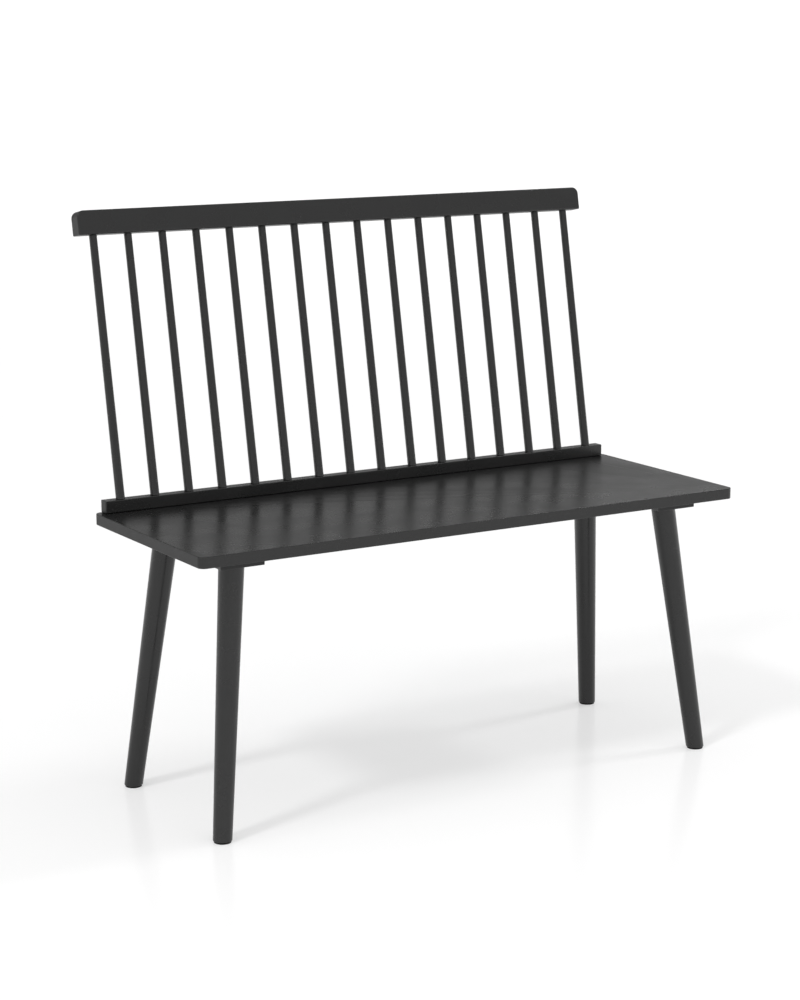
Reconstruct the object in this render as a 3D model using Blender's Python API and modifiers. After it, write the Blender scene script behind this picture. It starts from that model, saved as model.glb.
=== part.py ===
"""Windsor bench with a raked back of sixteen spindles and four splayed legs.

Metres, +Z up. The floor is at Z = 0, the front faces -Y, and left (-X) and right (+X) are those of
someone who faces the bench. The origin is on the floor under the middle of the bench's outer box.
"""

import math

import bmesh
import bpy
from mathutils import Euler, Matrix, Vector

# Gap left between any two pieces that touch, the room that paint and glue take
FIT = 0.0003

# Small chamfer that takes the sharpness off the boards' edges
EASED_EDGE = 0.0008

# Seat board
SEAT_LENGTH = 1.000
SEAT_DEPTH = 0.375
SEAT_THICKNESS = 0.018
SEAT_HEIGHT = 0.455
SEAT_CORNER_RADIUS = 0.011

# Lower rail, which stands on the seat with its rear face flush with the seat's rear edge
LOWER_RAIL_INSET = 0.0125
LOWER_RAIL_THICKNESS = 0.019
LOWER_RAIL_HEIGHT = 0.020

# Spindles; the exposed length is measured along the rake, from rail to rail
SPINDLE_COUNT = 16
SPINDLE_ROW_INSET = 0.030
SPINDLE_EXPOSED = 0.4225
SPINDLE_BOTTOM_DIAMETER = 0.0147
SPINDLE_TOP_DIAMETER = 0.0127
BACK_RAKE = math.radians(11.0)
TENON_DIAMETER = 0.0085
TENON_CHAMFER = 0.001
LOWER_TENON_LENGTH = 0.012
UPPER_TENON_LENGTH = 0.018

# Crest rail; the overhang runs from the last spindle's axis to the rail's end
CREST_OVERHANG = 0.029
CREST_HEIGHT = 0.039
CREST_THICKNESS = 0.0265
CREST_CORNER_RADIUS = 0.0115

# Battens under the seat, centred on the leg tops
BATTEN_WIDTH = 0.075
BATTEN_THICKNESS = 0.015
BATTEN_SETBACK = 0.0375

# Legs; the insets are from the seat's edges to the leg axis where it enters the batten
LEG_INSET_X = 0.090
LEG_INSET_Y = 0.0755
LEG_SPLAY = math.radians(6.22)
LEG_RAKE = math.radians(6.22)
LEG_TOP_DIAMETER = 0.040
LEG_FOOT_DIAMETER = 0.030

# Glide nailed under each foot
GLIDE_DIAMETER = 0.027
GLIDE_THICKNESS = 0.0025
GLIDE_CHAMFER = 0.0006
GLIDE_NAIL_DIAMETER = 0.0024
GLIDE_NAIL_LENGTH = 0.014

# Hanger bolt: a wood screw below, in the leg, and a machine thread above, in the insert
BOLT_MACHINE_DIAMETER = 0.008
BOLT_MACHINE_LENGTH = 0.022
BOLT_WOOD_DIAMETER = 0.007
BOLT_WOOD_LENGTH = 0.036
BOLT_POINT_LENGTH = 0.004

# Barbed insert for the hanger bolt
INSERT_DIAMETER = 0.0125
INSERT_LENGTH = 0.019
INSERT_BARBS = 3
INSERT_BARB_DEPTH = 0.0008

# Countersunk screws, all driven upwards; those of the lower rail stand in gaps between spindles
BATTEN_SCREW_DIAMETER = 0.004
BATTEN_SCREW_LENGTH = 0.025
BATTEN_SCREW_HEAD = 0.008
BATTEN_SCREW_EDGE = 0.015
BATTEN_SCREW_FROM_LEG = 0.052
RAIL_SCREW_DIAMETER = 0.0045
RAIL_SCREW_LENGTH = 0.030
RAIL_SCREW_HEAD = 0.0085
RAIL_SCREW_COUNT = 8
SCREW_POINT_LENGTH = 0.004
RECESS_WIDTH = 0.0009
RECESS_SPAN = 0.0036
RECESS_DEPTH = 0.0014

# How finely round shapes are drawn
SPINDLE_SIDES = 16
LEG_SIDES = 24
GLIDE_SIDES = 16
HARDWARE_SIDES = 12
CORNER_STEPS = 5

# Cutters run this far past the faces that they open
CUT_PAST = 0.003

# Places that follow from the sizes above
SEAT_UNDERSIDE = SEAT_HEIGHT - SEAT_THICKNESS
BATTEN_TOP = SEAT_UNDERSIDE - FIT
BATTEN_UNDERSIDE = BATTEN_TOP - BATTEN_THICKNESS
LEG_TOP = BATTEN_UNDERSIDE - FIT
LEG_FOOT = GLIDE_THICKNESS + FIT
LEG_X = SEAT_LENGTH / 2 - LEG_INSET_X
LEG_Y = SEAT_DEPTH / 2 - LEG_INSET_Y
LEG_SLOPE = math.hypot(math.tan(LEG_SPLAY), math.tan(LEG_RAKE))
LEG_LEAN = math.atan(LEG_SLOPE)
LEG_LENGTH = (LEG_TOP - LEG_FOOT) / math.cos(LEG_LEAN)
INSERT_START = FIT + INSERT_DIAMETER / 2 * LEG_SLOPE
LOWER_RAIL_BOTTOM = SEAT_HEIGHT + FIT
LOWER_RAIL_TOP = LOWER_RAIL_BOTTOM + LOWER_RAIL_HEIGHT
LOWER_RAIL_LENGTH = SEAT_LENGTH - 2 * LOWER_RAIL_INSET
LOWER_RAIL_Y = SEAT_DEPTH / 2 - LOWER_RAIL_THICKNESS / 2
SPINDLE_ROW = LOWER_RAIL_LENGTH - 2 * SPINDLE_ROW_INSET
SPINDLE_PITCH = SPINDLE_ROW / (SPINDLE_COUNT - 1)
SPINDLE_START = FIT / math.cos(BACK_RAKE)
CREST_LENGTH = SPINDLE_ROW + 2 * CREST_OVERHANG

# Rearmost point of the crest rail, and with it the middle of the bench from front to rear
REARMOST = (
    LOWER_RAIL_Y
    + (SPINDLE_EXPOSED + CREST_HEIGHT - EASED_EDGE) * math.sin(BACK_RAKE)
    + CREST_THICKNESS / 2 * math.cos(BACK_RAKE)
)
MIDDLE_Y = (REARMOST - SEAT_DEPTH / 2) / 2

UP = Vector((0, 0, 1))


def clear_scene():
    """Remove whatever the open file holds."""
    for obj in list(bpy.data.objects):
        bpy.data.objects.remove(obj, do_unlink=True)


def new_collection(name, cutters=False):
    """Make a collection in the scene; one for cutters stays out of renders."""
    collection = bpy.data.collections.new(name)
    bpy.context.scene.collection.children.link(collection)
    collection.hide_render = cutters
    return collection


def linear(channel):
    """Turn one sRGB channel, 0 to 1, into the linear value that a shader takes."""
    return channel / 12.92 if channel <= 0.04045 else ((channel + 0.055) / 1.055) ** 2.4


def new_material(name, srgb, roughness, metallic=0.0):
    """Make a Principled material from an sRGB colour written as 0xRRGGBB."""
    material = bpy.data.materials.new(name)
    material.use_nodes = True
    colour = [linear((srgb >> shift & 255) / 255) for shift in (16, 8, 0)] + [1.0]
    shader = material.node_tree.nodes["Principled BSDF"]
    shader.inputs["Base Color"].default_value = colour
    shader.inputs["Roughness"].default_value = roughness
    shader.inputs["Metallic"].default_value = metallic
    material.diffuse_color = colour
    return material


def painted_wood():
    """Solid wood under a charcoal satin paint."""
    return new_material("charcoal_painted_wood", 0x2C2C2D, 0.38)


def zinc_steel():
    """Bright zinc plating on the fasteners."""
    return new_material("zinc_plated_steel", 0xB4B6B8, 0.35, 1.0)


def black_nylon():
    """Moulded nylon of the glides."""
    return new_material("black_nylon", 0x1A1A1B, 0.6)


def new_object(name, mesh, collection, parent=None, matrix=None):
    """Make an object for a mesh, placed in its parent's frame by a matrix."""
    obj = bpy.data.objects.new(name, mesh)
    collection.objects.link(obj)
    obj.parent = parent
    if matrix is not None:
        obj.location = matrix.to_translation()
        obj.rotation_euler = matrix.to_euler()
    return obj


def new_piece(name, mesh, material, parent, matrix=None):
    """Make one named piece of the bench with its material."""
    if not mesh.materials:
        mesh.materials.append(material)
    return new_object(name, mesh, bpy.data.collections["windsor_bench"], parent, matrix)


def new_cutter(name, mesh, parent=None, matrix=None):
    """Make a helper that only cuts or joins other pieces."""
    cutter = new_object(name, mesh, bpy.data.collections["cutters"], parent, matrix)
    cutter.hide_render = True
    cutter.display_type = "WIRE"
    return cutter


def combine(obj, other, operation="DIFFERENCE"):
    """Cut another object from this one, or join it on."""
    modifier = obj.modifiers.new(f"{operation.lower()}_{other.name}", "BOOLEAN")
    modifier.object = other
    modifier.operation = operation
    modifier.solver = "EXACT"


def finished_mesh(obj, name, smooth=False):
    """Return the mesh that an object's modifiers make, for its copies to share."""
    graph = bpy.context.evaluated_depsgraph_get()
    graph.update()
    mesh = bpy.data.meshes.new_from_object(obj.evaluated_get(graph))
    mesh.name = name
    if smooth:
        smooth_round_faces(mesh)
    bpy.data.objects.remove(obj, do_unlink=True)
    return mesh


def smooth_round_faces(mesh):
    """Shade a mesh smooth, with every edge of more than 35 degrees kept crisp."""
    mesh.shade_smooth()
    mesh.set_sharp_from_angle(angle=math.radians(35))


def mesh_from(bm, name):
    """Turn a bmesh into a mesh and free it."""
    mesh = bpy.data.meshes.new(name)
    bm.to_mesh(mesh)
    bm.free()
    return mesh


def box(length, depth, height, bottom=0.0):
    """Make a bmesh box centred on the Z axis, standing on a height."""
    bm = bmesh.new()
    bmesh.ops.create_cube(bm, size=1.0)
    bmesh.ops.scale(bm, vec=(length, depth, height), verts=bm.verts)
    bmesh.ops.translate(bm, vec=(0, 0, bottom + height / 2), verts=bm.verts)
    return bm


def round_edges(bm, edges, radius, steps):
    """Round the given edges, or chamfer them where steps is 1."""
    bmesh.ops.bevel(
        bm, geom=list(edges), offset=radius, offset_type="OFFSET", segments=steps, profile=0.5, affect="EDGES"
    )


def ease_edges(bm):
    """Chamfer every square edge of a board."""
    square = [edge for edge in bm.edges if edge.calc_face_angle(0) > math.radians(60)]
    round_edges(bm, square, EASED_EDGE, 1)


def along(edge, axis):
    """Tell whether an edge runs along an axis."""
    direction = (edge.verts[1].co - edge.verts[0].co).normalized()
    return abs(direction.dot(Vector(axis))) > 0.999


def turned(name, profile, sides, closed=False):
    """Turn a profile of (radius, height) points, top to bottom, into a solid mesh."""
    points = [(radius, 0, height) for radius, height in profile]
    edges = [(i, i + 1) for i in range(len(points) - 1)]
    if closed:
        edges.append((len(points) - 1, 0))
    outline = bpy.data.meshes.new(name)
    outline.from_pydata(points, edges, [])
    obj = new_cutter(name, outline)
    screw = obj.modifiers.new("turn", "SCREW")
    screw.axis = "Z"
    screw.steps = sides
    screw.render_steps = sides
    screw.use_merge_vertices = True
    screw.merge_threshold = 0.00001
    return finished_mesh(obj, name, smooth=True)


def trimmed_cone(low, high, low_diameter, high_diameter, low_normal, high_normal, sides):
    """Make a cone on the Z axis between two planes that may slant.

    The planes cross the axis at the heights low and high, where the cone has the two diameters.
    """
    low_radius = low_diameter / 2
    high_radius = high_diameter / 2
    growth = (high_radius - low_radius) / (high - low)
    past = max(low_radius, high_radius)
    bm = bmesh.new()
    bmesh.ops.create_cone(
        bm,
        cap_ends=True,
        segments=sides,
        radius1=low_radius - growth * past,
        radius2=high_radius + growth * past,
        depth=high - low + 2 * past,
        matrix=Matrix.Translation((0, 0, (low + high) / 2)),
    )
    for height, normal in ((low, -Vector(low_normal)), (high, Vector(high_normal))):
        everything = bm.verts[:] + bm.edges[:] + bm.faces[:]
        bmesh.ops.bisect_plane(
            bm, geom=everything, dist=1e-7, plane_co=(0, 0, height), plane_no=normal, clear_outer=True
        )
        bmesh.ops.contextual_create(bm, geom=[edge for edge in bm.edges if edge.is_boundary])
    bmesh.ops.recalc_face_normals(bm, faces=bm.faces)
    return bm


def rods(name, radius, bottom, top, sides, matrices):
    """Make one cutter mesh of equal rods, each along the Z axis of its own matrix."""
    bm = bmesh.new()
    for matrix in matrices:
        bmesh.ops.create_cone(
            bm,
            cap_ends=True,
            segments=sides,
            radius1=radius,
            radius2=radius,
            depth=top - bottom,
            matrix=matrix @ Matrix.Translation((0, 0, (top + bottom) / 2)),
        )
    return mesh_from(bm, name)


def copies(name, mesh, matrices):
    """Make one cutter mesh of copies of a mesh."""
    bm = bmesh.new()
    for matrix in matrices:
        placed = mesh.copy()
        placed.transform(matrix)
        bm.from_mesh(placed)
        bpy.data.meshes.remove(placed)
    return mesh_from(bm, name)


def spindle_places():
    """Return each spindle's X along the back."""
    return [-SPINDLE_ROW / 2 + i * SPINDLE_PITCH for i in range(SPINDLE_COUNT)]


def back_matrix():
    """Return the frame of the back: on the lower rail's top, with Z up the rake."""
    turn = Euler((-BACK_RAKE, 0, 0)).to_matrix().to_4x4()
    return Matrix.Translation((0, LOWER_RAIL_Y, LOWER_RAIL_TOP)) @ turn


def leg_matrices():
    """Return each leg's frame by name: at the leg's top, with Z up along the leg."""
    frames = {}
    for depth_name, front in (("front", -1), ("rear", 1)):
        for side_name, side in (("left", -1), ("right", 1)):
            azimuth = math.atan2(front * math.tan(LEG_RAKE), side * math.tan(LEG_SPLAY))
            turn = Euler((0, -LEG_LEAN, azimuth)).to_matrix().to_4x4()
            place = Matrix.Translation((side * LEG_X, front * LEG_Y, LEG_TOP))
            frames[f"{depth_name}_{side_name}"] = place @ turn
    return frames


def batten_screw_matrices(side):
    """Return the frames of the four screws of one batten, at its underside."""
    across = BATTEN_WIDTH / 2 - BATTEN_SCREW_EDGE
    down = LEG_Y - BATTEN_SCREW_FROM_LEG
    return [
        Matrix.Translation((side * LEG_X + x, y, BATTEN_UNDERSIDE))
        for y in (-down, down)
        for x in (-across, across)
    ]


def rail_screw_matrices():
    """Return the frames of the lower rail's screws, at the seat's underside, between spindles."""
    middles = [x + SPINDLE_PITCH / 2 for x in spindle_places()[:-1]]
    step = (len(middles) - 1) // (RAIL_SCREW_COUNT - 1)
    return [Matrix.Translation((x, LOWER_RAIL_Y, SEAT_UNDERSIDE)) for x in middles[::step]]


def screw_profile(length, diameter, head):
    """Return a countersunk screw's profile, point up, with its head's face at height 0."""
    radius = diameter / 2
    head_height = head / 2 - radius
    return [
        (0, length),
        (radius, length - SCREW_POINT_LENGTH),
        (radius, head_height),
        (head / 2, 0),
        (0, 0),
    ]


def screw_bore_profile(length, diameter, head):
    """Return the profile of the hole for that screw, run on below its head."""
    radius = diameter / 2 + FIT
    mouth = head / 2 + FIT
    return [
        (0, length + FIT),
        (radius, length + FIT),
        (radius, mouth - radius),
        (mouth, 0),
        (mouth, -CUT_PAST),
        (0, -CUT_PAST),
    ]


def screw_mesh(name, length, diameter, head):
    """Make a countersunk screw with a cross recess."""
    screw = new_cutter(f"{name}_blank", turned(name, screw_profile(length, diameter, head), HARDWARE_SIDES))
    for blade, (width, depth) in enumerate(((RECESS_SPAN, RECESS_WIDTH), (RECESS_WIDTH, RECESS_SPAN))):
        recess = mesh_from(box(width, depth, RECESS_DEPTH + CUT_PAST, -CUT_PAST), f"{name}_recess_{blade}")
        combine(screw, new_cutter(f"{name}_recess_{blade}", recess))
    return finished_mesh(screw, name)


def build_leg_bores(bench):
    """Make the cutter of the slanted holes for the inserts and bolts."""
    radius = INSERT_DIAMETER / 2 + FIT
    deepest = max(INSERT_START + INSERT_LENGTH, BOLT_MACHINE_LENGTH) + FIT
    mesh = rods("leg_bores", radius, -CUT_PAST, deepest, HARDWARE_SIDES, leg_matrices().values())
    return new_cutter("leg_bores", mesh, bench)


def build_batten_screw_bores(bench):
    """Make the cutter of the holes for the battens' screws."""
    profile = screw_bore_profile(BATTEN_SCREW_LENGTH, BATTEN_SCREW_DIAMETER, BATTEN_SCREW_HEAD)
    places = batten_screw_matrices(-1) + batten_screw_matrices(1)
    one = turned("batten_screw_bore", profile, HARDWARE_SIDES)
    return new_cutter("batten_screw_bores", copies("batten_screw_bores", one, places), bench)


def build_rail_screw_bores(bench):
    """Make the cutter of the holes for the lower rail's screws."""
    profile = screw_bore_profile(RAIL_SCREW_LENGTH, RAIL_SCREW_DIAMETER, RAIL_SCREW_HEAD)
    one = turned("rail_screw_bore", profile, HARDWARE_SIDES)
    return new_cutter("rail_screw_bores", copies("rail_screw_bores", one, rail_screw_matrices()), bench)


def build_tenon_bores(back):
    """Make the cutters of the lower and the upper tenon holes, both along the rake."""
    places = [Matrix.Translation((x, 0, 0)) for x in spindle_places()]
    radius = TENON_DIAMETER / 2 + FIT
    lower = rods("lower_tenon_bores", radius, -LOWER_TENON_LENGTH - FIT, CUT_PAST, HARDWARE_SIDES, places)
    deepest = SPINDLE_EXPOSED + UPPER_TENON_LENGTH + FIT
    upper = rods("upper_tenon_bores", radius, SPINDLE_EXPOSED - CUT_PAST, deepest, HARDWARE_SIDES, places)
    return new_cutter("lower_tenon_bores", lower, back), new_cutter("upper_tenon_bores", upper, back)


def build_seat(bench, material, leg_bores, batten_screw_bores, rail_screw_bores):
    """Make the seat board, with blind holes from below and through holes for the rail's screws."""
    bm = box(SEAT_LENGTH, SEAT_DEPTH, SEAT_THICKNESS, SEAT_UNDERSIDE)
    round_edges(bm, [edge for edge in bm.edges if along(edge, UP)], SEAT_CORNER_RADIUS, CORNER_STEPS)
    ease_edges(bm)
    seat = new_piece("seat_panel", mesh_from(bm, "seat_panel"), material, bench)
    for cutter in (leg_bores, batten_screw_bores, rail_screw_bores):
        combine(seat, cutter)


def build_battens(bench, material, leg_bores, batten_screw_bores):
    """Make the two battens, bored through for the inserts and countersunk for their screws."""
    for name, side in (("batten_left", -1), ("batten_right", 1)):
        bm = box(BATTEN_WIDTH, SEAT_DEPTH - 2 * BATTEN_SETBACK, BATTEN_THICKNESS)
        ease_edges(bm)
        place = Matrix.Translation((side * LEG_X, 0, BATTEN_UNDERSIDE))
        batten = new_piece(name, mesh_from(bm, name), material, bench, place)
        combine(batten, leg_bores)
        combine(batten, batten_screw_bores)


def build_lower_rail(bench, material, lower_tenon_bores, rail_screw_bores):
    """Make the rail on the seat, with raked blind holes above and pilot holes below."""
    bm = box(LOWER_RAIL_LENGTH, LOWER_RAIL_THICKNESS, LOWER_RAIL_HEIGHT)
    ease_edges(bm)
    place = Matrix.Translation((0, LOWER_RAIL_Y, LOWER_RAIL_BOTTOM))
    rail = new_piece("lower_rail", mesh_from(bm, "lower_rail"), material, bench, place)
    combine(rail, lower_tenon_bores)
    combine(rail, rail_screw_bores)


def build_crest_rail(back, material, upper_tenon_bores):
    """Make the crest rail, square to the spindles, with its two upper corners rounded."""
    bm = box(CREST_LENGTH, CREST_THICKNESS, CREST_HEIGHT)
    corners = [edge for edge in bm.edges if along(edge, (0, 1, 0)) and edge.verts[0].co.z > CREST_HEIGHT / 2]
    round_edges(bm, corners, CREST_CORNER_RADIUS, CORNER_STEPS)
    ease_edges(bm)
    place = Matrix.Translation((0, 0, SPINDLE_EXPOSED))
    crest = new_piece("crest_rail", mesh_from(bm, "crest_rail"), material, back, place)
    combine(crest, upper_tenon_bores)


def tenon_mesh(name, outer_end, inner_end):
    """Make a tenon along Z, chamfered at its outer end and plain at the one inside the spindle."""
    sign = 1 if outer_end > inner_end else -1
    radius = TENON_DIAMETER / 2
    tip = [(0, outer_end), (radius - TENON_CHAMFER, outer_end), (radius, outer_end - sign * TENON_CHAMFER)]
    root = [(radius, inner_end), (0, inner_end)]
    profile = tip + root
    return turned(name, profile if sign > 0 else profile[::-1], HARDWARE_SIDES)


def spindle_mesh():
    """Make a spindle in the frame of the back, mitred below to sit flat on the lower rail."""
    low, high = SPINDLE_START, SPINDLE_EXPOSED - FIT
    rail_up = Vector((0, -math.sin(BACK_RAKE), math.cos(BACK_RAKE)))
    body = trimmed_cone(
        low, high, SPINDLE_BOTTOM_DIAMETER, SPINDLE_TOP_DIAMETER, rail_up, UP, SPINDLE_SIDES
    )
    spindle = new_cutter("spindle_body", mesh_from(body, "spindle_body"))
    into_body = SPINDLE_BOTTOM_DIAMETER
    for name, outer_end, inner_end in (
        ("lower_tenon", -LOWER_TENON_LENGTH, low + into_body),
        ("upper_tenon", SPINDLE_EXPOSED + UPPER_TENON_LENGTH, high - into_body),
    ):
        combine(spindle, new_cutter(name, tenon_mesh(name, outer_end, inner_end)), "UNION")
    return finished_mesh(spindle, "spindle", smooth=True)


def build_spindles(back, material):
    """Make the spindles, all alike and parallel."""
    mesh = spindle_mesh()
    for number, x in enumerate(spindle_places(), start=1):
        new_piece(f"spindle_{number:02d}", mesh, material, back, Matrix.Translation((x, 0, 0)))


def leg_mesh():
    """Make a leg in its own frame, cut level at both ends and bored for its bolt and its glide's nail."""
    up = Vector((math.sin(LEG_LEAN), 0, math.cos(LEG_LEAN)))
    bm = trimmed_cone(-LEG_LENGTH, 0, LEG_FOOT_DIAMETER, LEG_TOP_DIAMETER, up, up, LEG_SIDES)
    foot = [edge for edge in bm.edges if edge.calc_face_angle(0) > math.radians(60)]
    round_edges(bm, [edge for edge in foot if edge.verts[0].co.z < -LEG_LENGTH / 2], EASED_EDGE, 1)
    leg = new_cutter("leg_blank", mesh_from(bm, "leg_blank"))
    bolt_depth = BOLT_WOOD_LENGTH + FIT
    bolt_radius = max(BOLT_WOOD_DIAMETER, BOLT_MACHINE_DIAMETER) / 2 + FIT
    bolt_bore = rods("bolt_bore", bolt_radius, -bolt_depth, LEG_TOP_DIAMETER, HARDWARE_SIDES, [Matrix()])
    combine(leg, new_cutter("bolt_bore", bolt_bore))
    turn = Euler((0, LEG_LEAN, 0)).to_matrix().to_4x4()
    upright = Matrix.Translation((0, 0, -LEG_LENGTH)) @ turn
    nail_radius = GLIDE_NAIL_DIAMETER / 2 + FIT
    nail_bore = rods("nail_bore", nail_radius, -CUT_PAST, GLIDE_NAIL_LENGTH, HARDWARE_SIDES, [upright])
    combine(leg, new_cutter("nail_bore", nail_bore))
    return finished_mesh(leg, "leg", smooth=True)


def build_legs(bench, material):
    """Make the four legs: one solid turned to each corner's direction."""
    mesh = leg_mesh()
    for name, frame in leg_matrices().items():
        new_piece(f"leg_{name}", mesh, material, bench, frame)


def build_glides(bench, material):
    """Make the glide under each foot, a disc with a nail up into the leg."""
    radius = GLIDE_DIAMETER / 2
    nail = GLIDE_NAIL_DIAMETER / 2
    profile = [
        (0, GLIDE_THICKNESS + GLIDE_NAIL_LENGTH),
        (nail, GLIDE_THICKNESS + GLIDE_NAIL_LENGTH - GLIDE_NAIL_DIAMETER),
        (nail, GLIDE_THICKNESS),
        (radius, GLIDE_THICKNESS),
        (radius, GLIDE_CHAMFER),
        (radius - GLIDE_CHAMFER, 0),
        (0, 0),
    ]
    mesh = turned("foot_glide", profile, GLIDE_SIDES)
    for name, frame in leg_matrices().items():
        foot = frame @ Vector((0, 0, -LEG_LENGTH))
        new_piece(f"foot_glide_{name}", mesh, material, bench, Matrix.Translation((foot.x, foot.y, 0)))


def build_hanger_bolts(bench, material):
    """Make the bolt in each leg's top, along the leg's axis."""
    machine = BOLT_MACHINE_DIAMETER / 2
    wood = BOLT_WOOD_DIAMETER / 2
    chamfer = machine - wood
    profile = [
        (0, BOLT_MACHINE_LENGTH),
        (machine - chamfer, BOLT_MACHINE_LENGTH),
        (machine, BOLT_MACHINE_LENGTH - chamfer),
        (machine, 0),
        (wood, -chamfer),
        (wood, BOLT_POINT_LENGTH - BOLT_WOOD_LENGTH),
        (0, -BOLT_WOOD_LENGTH),
    ]
    mesh = turned("hanger_bolt", profile, HARDWARE_SIDES)
    for name, frame in leg_matrices().items():
        new_piece(f"hanger_bolt_{name}", mesh, material, bench, frame)


def build_inserts(bench, material):
    """Make the barbed insert round each hanger bolt, set in from the batten's underside."""
    outer = INSERT_DIAMETER / 2
    inner = BOLT_MACHINE_DIAMETER / 2 + FIT
    barb = INSERT_LENGTH / INSERT_BARBS
    profile = [(inner, INSERT_LENGTH)]
    for i in range(INSERT_BARBS):
        profile.append((outer - INSERT_BARB_DEPTH, INSERT_LENGTH - i * barb))
        profile.append((outer, INSERT_LENGTH - (i + 1) * barb))
    profile.append((inner, 0))
    mesh = turned("threaded_insert", profile, HARDWARE_SIDES, closed=True)
    for name, frame in leg_matrices().items():
        place = frame @ Matrix.Translation((0, 0, INSERT_START + FIT))
        new_piece(f"threaded_insert_{name}", mesh, material, bench, place)


def build_batten_screws(bench, material):
    """Make the screws that hold the battens."""
    mesh = screw_mesh("batten_screw", BATTEN_SCREW_LENGTH, BATTEN_SCREW_DIAMETER, BATTEN_SCREW_HEAD)
    for side_name, side in (("left", -1), ("right", 1)):
        for number, place in enumerate(batten_screw_matrices(side), start=1):
            new_piece(f"batten_screw_{side_name}_{number}", mesh, material, bench, place)


def build_rail_screws(bench, material):
    """Make the screws that hold the lower rail from beneath the seat."""
    mesh = screw_mesh("rail_screw", RAIL_SCREW_LENGTH, RAIL_SCREW_DIAMETER, RAIL_SCREW_HEAD)
    for number, place in enumerate(rail_screw_matrices(), start=1):
        new_piece(f"rail_screw_{number}", mesh, material, bench, place)


def main():
    """Build the bench."""
    clear_scene()
    new_collection("windsor_bench")
    new_collection("cutters", cutters=True)
    wood, steel, nylon = painted_wood(), zinc_steel(), black_nylon()

    parts = bpy.data.collections["windsor_bench"]
    bench = new_object("bench_frame", None, parts, matrix=Matrix.Translation((0, -MIDDLE_Y, 0)))
    back = new_object("back_frame", None, parts, bench, back_matrix())

    leg_bores = build_leg_bores(bench)
    batten_screw_bores = build_batten_screw_bores(bench)
    rail_screw_bores = build_rail_screw_bores(bench)
    lower_tenon_bores, upper_tenon_bores = build_tenon_bores(back)

    build_seat(bench, wood, leg_bores, batten_screw_bores, rail_screw_bores)
    build_battens(bench, wood, leg_bores, batten_screw_bores)
    build_lower_rail(bench, wood, lower_tenon_bores, rail_screw_bores)
    build_spindles(back, wood)
    build_crest_rail(back, wood, upper_tenon_bores)
    build_legs(bench, wood)
    build_glides(bench, nylon)
    build_hanger_bolts(bench, steel)
    build_inserts(bench, steel)
    build_batten_screws(bench, steel)
    build_rail_screws(bench, steel)
    bpy.context.view_layer.update()


if __name__ == "__main__":
    main()
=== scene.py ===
"""Looks of a windsor bench in charcoal satin paint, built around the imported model.

Metres, +Z up. The front faces -Y, and left (-X) and right (+X) are those of someone who faces the
bench. Each piece is a surface worked out on a grid of points in its own frame, cut where tenons,
bolts and screws enter it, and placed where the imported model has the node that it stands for.
"""

import logging
from collections.abc import Iterable, Sequence
from dataclasses import dataclass
from enum import Enum
from math import acos, atan, atan2, cos, hypot, pi, radians, sin, tan
from typing import Any, ClassVar

import bpy
import numpy as np
from bpy.types import ID, Material, Mesh, Node, NodeSocket, NodeTree, Object
from numpy.typing import ArrayLike, NDArray
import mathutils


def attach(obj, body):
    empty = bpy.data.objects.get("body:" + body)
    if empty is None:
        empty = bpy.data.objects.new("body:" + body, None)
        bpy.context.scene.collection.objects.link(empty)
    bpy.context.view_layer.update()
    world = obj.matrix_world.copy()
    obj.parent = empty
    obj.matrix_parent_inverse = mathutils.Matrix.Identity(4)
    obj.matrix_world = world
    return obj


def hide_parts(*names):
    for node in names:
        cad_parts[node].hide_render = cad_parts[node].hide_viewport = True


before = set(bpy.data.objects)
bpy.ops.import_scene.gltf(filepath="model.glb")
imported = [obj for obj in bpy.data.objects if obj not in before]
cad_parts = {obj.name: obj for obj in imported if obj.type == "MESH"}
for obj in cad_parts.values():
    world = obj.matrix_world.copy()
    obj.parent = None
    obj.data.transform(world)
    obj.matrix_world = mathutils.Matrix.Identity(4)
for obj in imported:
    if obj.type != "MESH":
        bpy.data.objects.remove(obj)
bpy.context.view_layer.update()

LOG = logging.getLogger("bench")

Points = NDArray[np.float64]
Matrix = NDArray[np.float64]
Vector = tuple[float, float, float]
Inputs = dict[str | int, Any]

MM = 0.001
BODY = "root"
SIDES = {"left": -1, "right": 1}
GRAIN_PLACE = "grain_place"
DRY_COAT = "dry_coat"
# Nearly all values of a noise texture lie in this range
NOISE_RANGE = {"From Min": 0.3, "From Max": 0.7}


class Axis(Enum):
    """An axis of a frame, by its column in the frame's matrix."""

    X = 0
    Y = 1
    Z = 2


class Ends(Enum):
    """How a stack of rings is closed."""

    POLES = "a point at each end"
    CAPS = "a flat face at each end"
    LOOP = "the last ring joins the first"


class Slot(Enum):
    """A material slot's name, with the word for its surface in a piece's name."""

    PAINT = ("charcoal_painted_wood", "painted")
    STEEL = ("zinc_plated_steel", "plated")
    NYLON = ("black_nylon", "moulded")


def move(x: float, y: float, z: float) -> Matrix:
    """Return the matrix of a shift by x, y and z."""
    return np.array([(1, 0, 0, x), (0, 1, 0, y), (0, 0, 1, z), (0, 0, 0, 1)], float)


def turn(axis: Axis, angle: float) -> Matrix:
    """Return the matrix of a right-handed turn about an axis.

    Args:
        axis: the axis that stays where it is.
        angle: the turn in radians.

    Returns:
        The angle's cosine and sine in the plane of the other two axes.
    """
    matrix = np.eye(4)
    plane = (axis.value + 1) % 3, (axis.value + 2) % 3
    matrix[np.ix_(plane, plane)] = [(cos(angle), -sin(angle)), (sin(angle), cos(angle))]
    return matrix


def grain_along(axis: Axis) -> Matrix:
    """Return the frame whose X axis, the way the grain runs, is the given axis."""
    return np.roll(np.eye(4)[:, :3], -axis.value, axis=1) @ np.eye(3, 4) + np.diag((0, 0, 0, 1))


def even_angles(segments: int) -> Points:
    """Return that many angles, equally spaced round a full turn."""
    return np.arange(segments) * (2 * pi / segments)


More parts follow.
